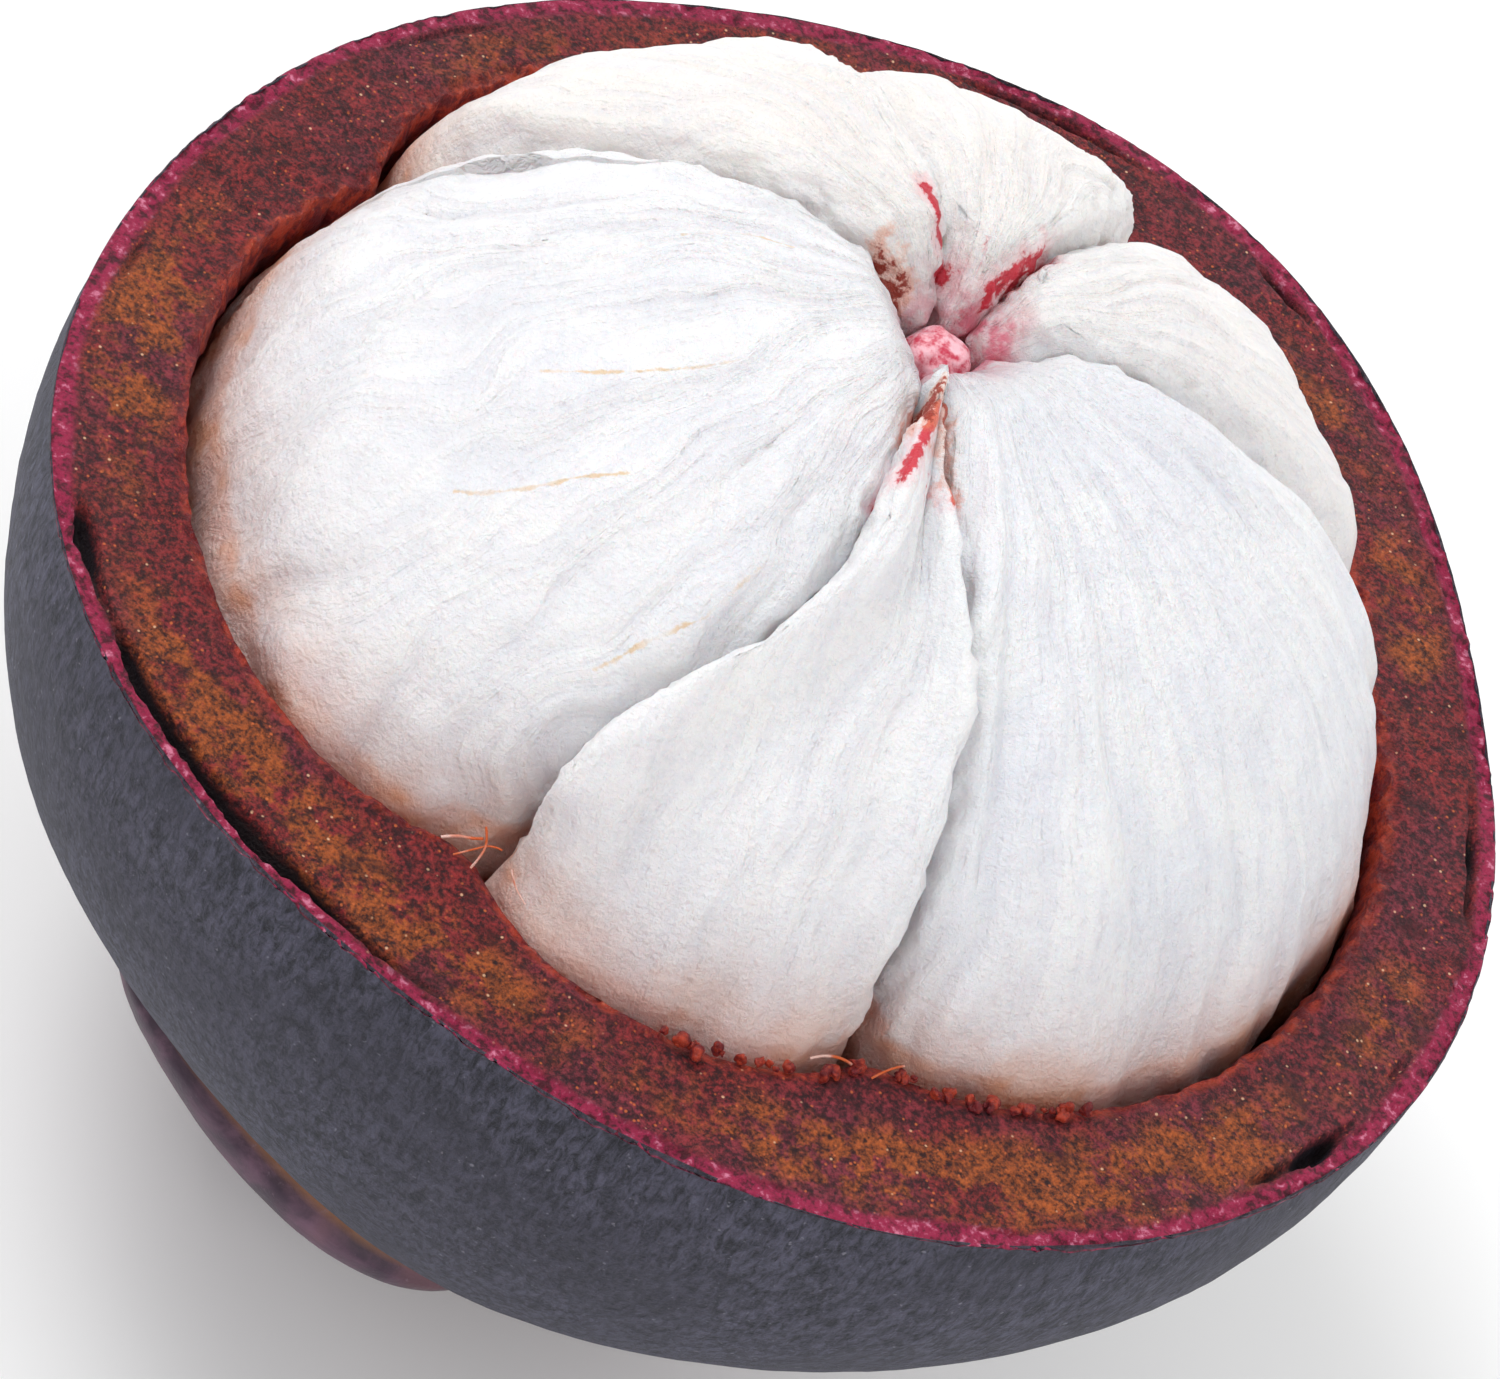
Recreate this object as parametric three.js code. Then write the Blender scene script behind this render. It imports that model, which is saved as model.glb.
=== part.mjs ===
// A mangosteen with the top of its rind cut away: a level cut across the thick
// rind, six white arils standing up in it as a dome, and the four leathery
// sepals of the calyx, cupped under it around the cut stem that it stands on.
// Millimetres. +Z is the axis of the fruit and the table is z = 0.
import * as THREE from 'three';
import { mergeVertices } from 'three/addons/utils/BufferGeometryUtils.js';

// Rind
const FRUIT_RADIUS = 31; // mean radius of the cut rim
const CUT_HEIGHT = 35.1; // the cut face above the table
const GIRTH_DROP = 0.0725 * FRUIT_RADIUS; // widest level below the cut face
const GIRTH_SWELL = 1.004; // widest radius over the rim radius
const BOTTOM_DROP = 0.925 * FRUIT_RADIUS; // stem end below the widest level
const BODY_POWER = 1.96; // 2 is an ellipsoid
const FULL_SIDE = -87; // the rind bulges most on this side, in degrees
const FULL_SPREAD = 23.5;
const FULLNESS = 0.22; // added to BODY_POWER there
const RIM_BEVEL = 0.35; // the knife leaves the skin edge slightly rounded
const LIP_BEVEL = 0.5; // and the inner edge too
const RIND_SEGMENTS = 90;
const OUTSIDE_RINGS = 14;
const CAVITY_RINGS = 11;

// Cavity and dome of arils
const DOME_LEVEL = CUT_HEIGHT - 0.15 * FRUIT_RADIUS; // level of its widest section
const DOME_RISE = 0.64 * FRUIT_RADIUS; // dome above that level
const CAVITY_DROP = 0.6 * FRUIT_RADIUS; // cavity below that level
const POLE = { x: -0.9, y: 1.6 }; // where the arils meet
const DIMPLE_DEPTH = 1.6; // hollow at the meeting point
const DIMPLE_RADIUS = 5;
const ARIL_SLICES = 15;
const ARIL_SIDE_STEPS = 6; // points along each flat side of a slice
const ARIL_BACK_STEPS = 12; // and along its rounded back
const GAP = 0.32; // between neighbouring pieces

// Angles in degrees, from +X towards +Y. `groove` is the cavity radius at the
// start of the aril and `reach` the radius at its middle, over FRUIT_RADIUS.
// `lift` raises the top of the aril and `soft` rounds its edges, both in mm.
const ARILS = [
  { name: 'aril_front', from: -103, to: -60, groove: 0.72, reach: 0.79, lift: 0, soft: 2 },
  { name: 'aril_right', from: -60, to: 32, groove: 0.735, reach: 0.815, lift: 0.4, soft: 3 },
  { name: 'aril_right_back', from: 32, to: 80, groove: 0.77, reach: 0.81, lift: 0.8, soft: 3 },
  { name: 'aril_back', from: 80, to: 125, groove: 0.77, reach: 0.825, lift: 1.6, soft: 3 },
  { name: 'aril_left_back', from: 125, to: 168, groove: 0.78, reach: 0.835, lift: 2, soft: 3 },
  { name: 'aril_left', from: 168, to: 257, groove: 0.765, reach: 0.84, lift: 0.8, soft: 3 },
];

// Core
const CORE_RADIUS = 1.2;

// Calyx. Distances along a sepal run over the rind from the stem end.
const STEM_RADIUS = 3.6;
const STEM_SIDES = 20;
const OUTSIDE_SPAN = 47; // from the stem end to the widest level
const SEPAL_REACH = 22.5; // tip of a sepal
const SEPAL_HALF_ANGLE = 45;
const SEPAL_MIDDLE = 12;
const SEPAL_THICKNESS = 1.45;
const SEPAL_EDGE = 0.5; // thickness at the margin
const SEPAL_CORNER = 14; // rounding of the outline
const SEPAL_OUTLINE_POINTS = 44;
// `standoff` is the space between the rind and the middle of the sepal, and
// `margin` the space at its edge.
const SEPALS = [
  { name: 'sepal_right', angle: -24, standoff: 0.35, margin: 0.35 },
  { name: 'sepal_left', angle: 156, standoff: 0.35, margin: 0.35 },
  { name: 'sepal_front', angle: -114, standoff: 1.95, margin: 1 },
  { name: 'sepal_back', angle: 66, standoff: 1.95, margin: 1 },
];

const LOOKS = {
  rind: { color: 0x6b2a34, roughness: 0.8, metalness: 0 },
  aril: { color: 0xf3f1ee, roughness: 0.45, metalness: 0 },
  core: { color: 0xe2a0a8, roughness: 0.6, metalness: 0 },
  sepal: { color: 0x58404e, roughness: 0.7, metalness: 0 },
  stem: { color: 0x54463f, roughness: 0.85, metalness: 0 },
};

const radians = THREE.MathUtils.degToRad;

// Larger of a and b, with the edge between them rounded off over k.
function roundedMax(a, b, k) {
  const blend = Math.max(k - Math.abs(a - b), 0) / k;
  return Math.max(a, b) + blend * blend * k * 0.25;
}

// The rim is not quite round: three soft corners, one of them squarer.
function rimShape(angle) {
  return 1.006 + 0.0102 * Math.sin(2 * angle) - 0.0095 * Math.cos(2 * angle)
    - 0.0309 * Math.sin(3 * angle) - 0.0024 * Math.cos(3 * angle)
    - 0.0067 * Math.sin(4 * angle) + 0.0027 * Math.cos(4 * angle)
    + 0.0032 * Math.sin(5 * angle) + 0.0078 * Math.cos(5 * angle);
}

// Radius of the dome of arils at its widest level. It bulges at the middle of
// each aril and draws in at each groove.
function domeRadius(angle) {
  const start = radians(ARILS[0].from);
  const turned = THREE.MathUtils.euclideanModulo(angle - start, 2 * Math.PI) + start;
  const degrees = THREE.MathUtils.radToDeg(turned);
  const index = ARILS.findIndex((aril) => degrees < aril.to + 1e-9);
  const aril = ARILS[index];
  const next = ARILS[(index + 1) % ARILS.length];
  const along = (degrees - aril.from) / (aril.to - aril.from);
  const groove = THREE.MathUtils.lerp(aril.groove, next.groove, along);
  const bulge = 1 - Math.abs(2 * along - 1) ** 3;
  return FRUIT_RADIUS * (groove + (aril.reach - groove) * bulge) * 1.03;
}

// A closed mesh from rings of points that run from one pole to the other.
function closedRings(firstPole, rings, lastPole) {
  const sides = rings[0].length;
  const points = [firstPole, ...rings.flat(), lastPole];
  const faces = [];
  const at = (ring, side) => 1 + ring * sides + (side % sides);
  for (let side = 0; side < sides; side += 1) {
    faces.push(0, at(0, side + 1), at(0, side));
    for (let ring = 0; ring + 1 < rings.length; ring += 1) {
      faces.push(at(ring, side), at(ring, side + 1), at(ring + 1, side + 1));
      faces.push(at(ring, side), at(ring + 1, side + 1), at(ring + 1, side));
    }
    faces.push(at(rings.length - 1, side), at(rings.length - 1, side + 1), points.length - 1);
  }
  const geometry = new THREE.BufferGeometry();
  geometry.setAttribute('position', new THREE.Float32BufferAttribute(points.flat(), 3));
  geometry.setIndex(faces);
  return geometry;
}

function ringAt(radiusOf, heightOf) {
  const ring = [];
  for (let i = 0; i < RIND_SEGMENTS; i += 1) {
    const angle = (2 * Math.PI * i) / RIND_SEGMENTS;
    const radius = radiusOf(angle);
    ring.push([radius * Math.cos(angle), radius * Math.sin(angle), heightOf(angle)]);
  }
  return ring;
}

// Radius and height of the outside at a given share of the way from the stem
// end (0) to the widest level (1), in the direction of an angle.
function outsideAt(share, angle) {
  const turn = (share * Math.PI) / 2;
  const side = angle - radians(FULL_SIDE);
  const offSide = Math.atan2(Math.sin(side), Math.cos(side)) / radians(FULL_SPREAD);
  const power = 2 / (BODY_POWER + FULLNESS * Math.exp(-(offSide ** 2)));
  return {
    radius: FRUIT_RADIUS * GIRTH_SWELL * rimShape(angle) * Math.sin(turn) ** power,
    height: CUT_HEIGHT - GIRTH_DROP - BOTTOM_DROP * Math.abs(Math.cos(turn)) ** power,
  };
}

function rindGeometry() {
  const rings = [];
  for (let i = 1; i <= OUTSIDE_RINGS; i += 1) {
    const share = i / OUTSIDE_RINGS;
    rings.push(ringAt((a) => outsideAt(share, a).radius, (a) => outsideAt(share, a).height));
  }
  rings.push(ringAt((a) => FRUIT_RADIUS * rimShape(a), () => CUT_HEIGHT - RIM_BEVEL));
  rings.push(ringAt((a) => FRUIT_RADIUS * rimShape(a) - RIM_BEVEL, () => CUT_HEIGHT));
  const lipTurn = Math.asin((CUT_HEIGHT - LIP_BEVEL - DOME_LEVEL) / CAVITY_DROP);
  const lip = Math.cos(lipTurn);
  rings.push(ringAt((a) => domeRadius(a) * lip + LIP_BEVEL, () => CUT_HEIGHT));
  for (let i = 0; i < CAVITY_RINGS; i += 1) {
    const turn = THREE.MathUtils.lerp(lipTurn, -Math.PI / 2, i / CAVITY_RINGS);
    const height = DOME_LEVEL + CAVITY_DROP * Math.sin(turn);
    rings.push(ringAt((a) => domeRadius(a) * Math.cos(turn), () => height));
  }
  const stemEnd = outsideAt(0, 0).height;
  return closedRings([0, 0, stemEnd], rings, [0, 0, DOME_LEVEL - CAVITY_DROP]);
}

// Directions from the meeting point along the two grooves beside an aril.
function grooveAngles(aril) {
  const reach = 0.8 * FRUIT_RADIUS;
  const [from, to] = [aril.from, aril.to].map((degrees) => Math.atan2(
    reach * Math.sin(radians(degrees)) - POLE.y,
    reach * Math.cos(radians(degrees)) - POLE.x,
  ));
  return { from, to: to < from ? to + 2 * Math.PI : to };
}

// Below zero inside the whole dome and cavity filling, as this aril shapes it.
function domeSolid(aril) {
  return (x, y, z) => {
    const fromPole = Math.hypot(x - POLE.x, y - POLE.y);
    const dimple = DIMPLE_DEPTH * Math.exp(-((fromPole / DIMPLE_RADIUS) ** 2));
    const rise = DOME_RISE + aril.lift - dimple;
    const tall = z > DOME_LEVEL ? rise : CAVITY_DROP - GAP * 1.2;
    const wide = domeRadius(Math.atan2(y, x)) - GAP * 1.5;
    return (Math.hypot(Math.hypot(x, y) / wide, (z - DOME_LEVEL) / tall) - 1) * wide * 0.8;
  };
}

// Below zero inside the aril: the dome between two grooves, off the core.
function arilSolid(aril) {
  const { from, to } = grooveAngles(aril);
  const dome = domeSolid(aril);
  return (x, y, z) => {
    const dx = x - POLE.x;
    const dy = y - POLE.y;
    const fromPole = Math.hypot(dx, dy);
    const pastFrom = dy * Math.cos(from) - dx * Math.sin(from);
    const beforeTo = dx * Math.sin(to) - dy * Math.cos(to);
    const rounding = aril.soft * Math.min(1, 0.12 + fromPole / 14);
    const sides = roundedMax(GAP / 2 - pastFrom, GAP / 2 - beforeTo, rounding);
    const inner = CORE_RADIUS + GAP - fromPole;
    return roundedMax(roundedMax(dome(x, y, z), sides, rounding), inner, 0.4);
  };
}

// The point where a line from inside a solid leaves it.
function surfacePoint(solid, start, direction) {
  let near = 0;
  let far = 2 * FRUIT_RADIUS;
  const along = (reach) => start.map((value, axis) => value + direction[axis] * reach);
  for (let step = 0; step < 36; step += 1) {
    const reach = (near + far) / 2;
    if (solid(...along(reach)) < 0) near = reach;
    else far = reach;
  }
  return along(near);
}

function unit(vector) {
  const length = Math.hypot(...vector);
  return vector.map((value) => value / length);
}

// Steps from 0 to 1 that crowd towards both ends.
function crowded(steps) {
  return Array.from({ length: steps }, (_, i) => {
    const t = i / steps;
    return t - (0.7 * Math.sin(2 * Math.PI * t)) / (2 * Math.PI);
  });
}

// One slice through the aril, from the core out to its back at the given tilt.
// The points run round it and crowd towards its three corners.
function arilSlice(aril, tilt) {
  const solid = arilSolid(aril);
  const dome = domeSolid(aril);
  const { from, to } = grooveAngles(aril);
  const middle = (from + to) / 2;
  const coreHeight = DOME_LEVEL + DOME_RISE * 0.95 * (tilt / (Math.PI / 2));
  const core = [POLE.x, POLE.y, coreHeight];
  const flat = Math.cos(tilt);
  const lift = [flat * Math.cos(middle), flat * Math.sin(middle), Math.sin(tilt)];
  const back = surfacePoint(dome, [POLE.x, POLE.y, DOME_LEVEL], lift);
  const depth = Math.hypot(...back.map((value, axis) => value - core[axis]));
  const out = unit(back.map((value, axis) => value - core[axis]));
  const across = [-Math.sin(middle), Math.cos(middle), 0];
  const spread = Math.hypot(out[0], out[1]) * Math.tan((to - from) / 2);
  const edge = unit(out.map((value, axis) => value + across[axis] * spread));
  const corner = surfacePoint(dome, core, edge).map((value, axis) => value - core[axis]);
  const start = core.map((value, axis) => value + out[axis] * depth * 0.6);
  const cornerAcross = corner[0] * across[0] + corner[1] * across[1];
  const cornerOut = corner.reduce((sum, value, axis) => sum + value * out[axis], 0);
  const cornerAngle = Math.atan2(cornerAcross, cornerOut - depth * 0.6);
  const turns = [
    ...crowded(ARIL_SIDE_STEPS).map((t) => -Math.PI + t * (Math.PI - cornerAngle)),
    ...crowded(ARIL_BACK_STEPS).map((t) => (2 * t - 1) * cornerAngle),
    ...crowded(ARIL_SIDE_STEPS).map((t) => cornerAngle + t * (Math.PI - cornerAngle)),
  ];
  return turns.map((turn) => surfacePoint(
    solid,
    start,
    out.map((value, axis) => value * Math.cos(turn) + across[axis] * Math.sin(turn)),
  ));
}

function arilGeometry(aril) {
  const solid = arilSolid(aril);
  const steepest = radians(76);
  const slices = Array.from({ length: ARIL_SLICES }, (_, i) => (
    arilSlice(aril, steepest * ((2 * i) / (ARIL_SLICES - 1) - 1))
  ));
  const tip = (slice, direction) => {
    const middle = [0, 1, 2].map((axis) => (
      slice.reduce((sum, point) => sum + point[axis], 0) / slice.length
    ));
    return surfacePoint(solid, middle, direction);
  };
  return closedRings(tip(slices[0], [0, 0, -1]), slices, tip(slices.at(-1), [0, 0, 1]));
}

// The soft column that the arils grow around. It fills the middle of the dome.
function coreGeometry() {
  const foot = DOME_LEVEL - CAVITY_DROP + GAP + 0.1;
  const top = DOME_LEVEL + DOME_RISE - DIMPLE_DEPTH - 1.4;
  const profile = [
    new THREE.Vector2(0, foot),
    new THREE.Vector2(CORE_RADIUS, foot + 0.6),
    new THREE.Vector2(CORE_RADIUS, top - 0.7),
    new THREE.Vector2(CORE_RADIUS * 0.6, top - 0.15),
    new THREE.Vector2(0, top),
  ];
  const lathe = new THREE.LatheGeometry(profile, 12);
  lathe.rotateX(Math.PI / 2);
  lathe.translate(POLE.x, POLE.y, 0);
  return welded(lathe);
}

function welded(geometry) {
  geometry.deleteAttribute('normal');
  geometry.deleteAttribute('uv');
  return mergeVertices(geometry, 1e-4);
}

// The point stood off from the rind, at a distance over it from the stem end.
function offRind(distance, angle, standoff) {
  const share = distance / OUTSIDE_SPAN;
  const here = outsideAt(share, angle);
  const before = outsideAt(share - 0.02, angle);
  const after = outsideAt(share + 0.02, angle);
  const [outwards, upwards] = unit([after.radius - before.radius, after.height - before.height]);
  const radius = here.radius + standoff * upwards;
  return [radius * Math.cos(angle), radius * Math.sin(angle), here.height - standoff * outwards];
}

// Outline of a sepal that points along +X, as distances from its middle.
function sepalOutline(angle) {
  const spread = radians(SEPAL_HALF_ANGLE);
  const inside = (x, y) => {
    const across = Math.abs(y) * Math.cos(spread) - x * Math.sin(spread) + GAP / 2;
    const tip = Math.hypot(x, y) - SEPAL_REACH;
    const stem = STEM_RADIUS + GAP - Math.hypot(x, y);
    return roundedMax(roundedMax(across, tip, SEPAL_CORNER), stem, 1);
  };
  const tip = surfacePoint(inside, [SEPAL_MIDDLE, 0, 0], [Math.cos(angle), Math.sin(angle), 0]);
  return Math.hypot(tip[0] - SEPAL_MIDDLE, tip[1]);
}

// A sepal is a cupped plate that thins and draws in towards its margin.
function sepalGeometry(sepal) {
  const point = (share, turn, outer) => {
    const reach = sepalOutline(turn) * share;
    const x = SEPAL_MIDDLE + reach * Math.cos(turn);
    const y = reach * Math.sin(turn);
    const distance = Math.hypot(x, y);
    const clear = THREE.MathUtils.smoothstep(distance, 6, 12);
    const inner = THREE.MathUtils.lerp(sepal.standoff, sepal.margin, clear * share ** 6);
    const thickness = THREE.MathUtils.lerp(SEPAL_THICKNESS, SEPAL_EDGE, share ** 4);
    const angle = Math.atan2(y, x) + radians(sepal.angle);
    return offRind(distance, angle, outer ? inner + thickness : inner);
  };
  const ringOf = (share, outer) => Array.from({ length: SEPAL_OUTLINE_POINTS }, (_, i) => (
    point(share, (2 * Math.PI * i) / SEPAL_OUTLINE_POINTS, outer)
  ));
  const shares = [0.4, 0.7, 0.9, 1];
  const under = shares.map((share) => ringOf(share, true));
  const over = shares.map((share) => ringOf(share, false)).reverse();
  return closedRings(point(0, 0, true), [...under, ...over], point(0, 0, false));
}

// The cut end of the stem, flat on the table.
function stemGeometry() {
  const top = outsideAt(0, 0).height - GAP;
  const profile = [
    new THREE.Vector2(0, 0),
    new THREE.Vector2(STEM_RADIUS - 0.3, 0),
    new THREE.Vector2(STEM_RADIUS, 0.3),
    new THREE.Vector2(STEM_RADIUS, top),
    new THREE.Vector2(0, top),
  ];
  const lathe = new THREE.LatheGeometry(profile, STEM_SIDES);
  lathe.rotateX(Math.PI / 2);
  return welded(lathe);
}

function piece(name, geometry, look) {
  const mesh = new THREE.Mesh(geometry, new THREE.MeshStandardMaterial(LOOKS[look]));
  mesh.name = name;
  return mesh;
}

const mangosteen = new THREE.Group();
mangosteen.name = 'mangosteen';
mangosteen.add(piece('rind', rindGeometry(), 'rind'));
for (const aril of ARILS) {
  mangosteen.add(piece(aril.name, arilGeometry(aril), 'aril'));
}
mangosteen.add(piece('core', coreGeometry(), 'core'));
for (const sepal of SEPALS) {
  mangosteen.add(piece(sepal.name, sepalGeometry(sepal), 'sepal'));
}
mangosteen.add(piece('stem', stemGeometry(), 'stem'));

// The origin is under the middle of the bounding box.
const box = new THREE.Box3().setFromObject(mangosteen);
const middle = box.getCenter(new THREE.Vector3());
for (const mesh of mangosteen.children) {
  mesh.geometry.translate(-middle.x, -middle.y, 0);
}

export default mangosteen;
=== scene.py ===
"""A mangosteen with the top of its rind cut away, standing on its stem end.

The rind is a grid rolled up round the fruit's axis. The arils, the core, the
sepals and the stem grow from copies of their CAD solids. Metres throughout.
"""

import itertools
import math

import bpy
import numpy as np
from mathutils import Matrix, Vector


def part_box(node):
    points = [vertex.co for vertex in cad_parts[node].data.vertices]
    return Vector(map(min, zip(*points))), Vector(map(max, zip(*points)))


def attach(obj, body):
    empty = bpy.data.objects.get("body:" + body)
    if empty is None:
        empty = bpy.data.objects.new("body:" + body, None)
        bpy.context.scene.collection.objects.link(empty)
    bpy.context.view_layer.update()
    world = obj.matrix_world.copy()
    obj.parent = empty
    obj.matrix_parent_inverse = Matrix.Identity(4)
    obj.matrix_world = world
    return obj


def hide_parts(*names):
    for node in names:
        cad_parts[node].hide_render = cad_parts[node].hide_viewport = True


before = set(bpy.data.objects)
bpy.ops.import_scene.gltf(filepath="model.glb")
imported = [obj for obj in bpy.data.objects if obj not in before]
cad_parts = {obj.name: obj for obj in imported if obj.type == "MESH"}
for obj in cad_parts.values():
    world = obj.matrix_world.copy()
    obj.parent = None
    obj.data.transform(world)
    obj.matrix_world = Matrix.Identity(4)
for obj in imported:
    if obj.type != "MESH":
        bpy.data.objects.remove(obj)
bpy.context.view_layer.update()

MM = 0.001
DEGREE = math.pi / 180


# ---------------------------------------------------------------- the frame

def node_points(node):
    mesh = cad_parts[node].data
    points = np.empty(len(mesh.vertices) * 3, np.float32)
    mesh.vertices.foreach_get("co", points)
    return points.reshape(-1, 3).astype(float)


def box_middle(node):
    low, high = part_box(node)
    return (np.array(low) + np.array(high)) / 2


RIND_LOW, RIND_HIGH = (np.array(corner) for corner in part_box("rind"))
AXIS = box_middle("stem")[:2]          # the fruit's axis
POLE = box_middle("core")[:2]          # where the arils meet
CUT_HEIGHT = RIND_HIGH[2]
STEM_END = RIND_LOW[2]                 # where the rind meets the stem
DOME_LEVEL = CUT_HEIGHT - 4.65 * MM    # the widest level of the dome of arils
FRUIT_RADIUS = 31 * MM
GIRTH_DROP = 0.0725 * FRUIT_RADIUS     # widest level of the rind below the cut
GIRTH_SWELL = 1.004                    # over the radius at the cut
BODY_POWER = 1.96                      # 2 is an ellipsoid
FULL_SIDE = -87                        # the rind bulges most on this side
FULL_SPREAD = 23.5                     # degrees to each side of it
FULLNESS = 0.22                        # added to the power there
CAVITY_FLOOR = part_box("core")[0][2] - 0.4 * MM


# ---------------------------------------------------------------- soft noise

def lattice_value(cell, seed):
    """A fixed number from -1 to 1 for each lattice cell."""
    x, y, z = (cell[:, k].astype(np.int64) for k in range(3))
    mixed = (x * 374761393 + y * 668265263 + z * 1274126177 + seed * 974711) & 0xFFFFFFFF
    mixed = ((mixed ^ (mixed >> 13)) * 1274126177) & 0xFFFFFFFF
    return (mixed ^ (mixed >> 16)) / 2.0**31 - 1


def grain(points, size, seed):
    """Smooth noise from -1 to 1 with lumps about `size` apart."""
    scaled = points / size
    cell = np.floor(scaled)
    part = scaled - cell
    part = part * part * (3 - 2 * part)
    total = np.zeros(len(points))
    for corner in itertools.product((0, 1), repeat=3):
        weight = np.prod(np.where(corner, part, 1 - part), axis=1)
        total += weight * lattice_value(cell + corner, seed)
    return total


def grains(points, *layers):
    """Noise in layers of (height, size in mm, seed)."""
    return sum(height * grain(points, size * MM, seed) for height, size, seed in layers)


def smoothstep(low, high, value):
    share = np.clip((value - low) / (high - low), 0, 1)
    return share * share * (3 - 2 * share)


def bump_at(value, middle, width):
    return np.exp(-(((value - middle) / width) ** 2))


def turn_between(angle, middle):
    """The angle from `middle`, from -180 to 180, both in degrees."""
    return (angle - middle + 180) % 360 - 180


# ---------------------------------------------------------------- mesh helpers

def only(piece):
    """Selects this piece alone."""
    if bpy.context.mode != "OBJECT":
        bpy.ops.object.mode_set(mode="OBJECT")
    bpy.ops.object.select_all(action="DESELECT")
    piece.select_set(True)
    bpy.context.view_layer.objects.active = piece


def read_points(piece):
    points = np.empty(len(piece.data.vertices) * 3, np.float32)
    piece.data.vertices.foreach_get("co", points)
    return points.reshape(-1, 3).astype(float)


def write_points(piece, points):
    piece.data.vertices.foreach_set("co", points.astype(np.float32).ravel())
    piece.data.update()


def read_normals(piece):
    normals = np.empty(len(piece.data.vertices) * 3, np.float32)
    piece.data.vertices.foreach_get("normal", normals)
    return normals.reshape(-1, 3).astype(float)


def paint(piece, name, values):
    """A number for each point, which the material reads."""
    layer = piece.data.attributes.new(name, "FLOAT", "POINT")
    layer.data.foreach_set("value", np.asarray(values, np.float32))


def paint_vector(piece, name, values):
    layer = piece.data.attributes.new(name, "FLOAT_VECTOR", "POINT")
    layer.data.foreach_set("vector", np.asarray(values, np.float32).ravel())


def applied(piece, kind, **settings):
    only(piece)
    modifier = piece.modifiers.new(kind.title(), kind)
    for key, value in settings.items():
        setattr(modifier, key, value)
    bpy.ops.object.modifier_apply(modifier=modifier.name)


def subdivided(piece, levels):
    applied(piece, "SUBSURF", levels=levels, render_levels=levels)


def grown_from(node):
    """A copy of a CAD solid, with its points joined and its faces paired."""
    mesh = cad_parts[node].data.copy()
    mesh.materials.clear()
    piece = bpy.data.objects.new(node + "_grown", mesh)
    bpy.context.scene.collection.objects.link(piece)
    only(piece)
    bpy.ops.object.mode_set(mode="EDIT")
    bpy.ops.mesh.select_all(action="SELECT")
    bpy.ops.mesh.customdata_custom_splitnormals_clear()
    bpy.ops.mesh.remove_doubles(threshold=0.005 * MM)
    bpy.ops.mesh.tris_convert_to_quads(face_threshold=60 * DEGREE, shape_threshold=80 * DEGREE)
    bpy.ops.object.mode_set(mode="OBJECT")
    return piece


def rolled_grid(name, around, rows):
    """A grid with its points' turn (in radians) and row number. It is shaped
    by the caller and then closed by `closed`."""
    bpy.ops.object.select_all(action="DESELECT")
    bpy.ops.mesh.primitive_grid_add(x_subdivisions=around, y_subdivisions=rows - 1, size=1)
    piece = bpy.context.object
    piece.name = name
    points = read_points(piece)
    turn = (points[:, 0] + 0.5) * 2 * math.pi
    row = np.rint((points[:, 1] + 0.5) * (rows - 1)).astype(int)
    return piece, turn, row


def enclosed_volume(piece):
    """The volume inside a closed piece, below nought when its faces look in."""
    mesh = piece.data
    mesh.calc_loop_triangles()
    corners = np.empty(len(mesh.loop_triangles) * 3, dtype=np.int32)
    mesh.loop_triangles.foreach_get("vertices", corners)
    a, b, c = read_points(piece)[corners.reshape(-1, 3)].transpose(1, 0, 2)
    return (a * np.cross(b, c)).sum() / 6


def closed(piece):
    """Joins the seam and the poles and points all faces outwards."""
    only(piece)
    bpy.ops.object.mode_set(mode="EDIT")
    bpy.ops.mesh.select_all(action="SELECT")
    bpy.ops.mesh.remove_doubles(threshold=0.002 * MM)
    bpy.ops.mesh.normals_make_consistent(inside=False)
    bpy.ops.object.mode_set(mode="OBJECT")
    if enclosed_volume(piece) < 0:
        bpy.ops.object.mode_set(mode="EDIT")
        bpy.ops.mesh.select_all(action="SELECT")
        bpy.ops.mesh.flip_normals()
        bpy.ops.object.mode_set(mode="OBJECT")


def finished(piece, node, material):
    only(piece)
    bpy.ops.object.shade_smooth()
    piece.data.materials.append(material)
    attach(piece, "root")
    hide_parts(node)


# ---------------------------------------------------------------- node helpers

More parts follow.
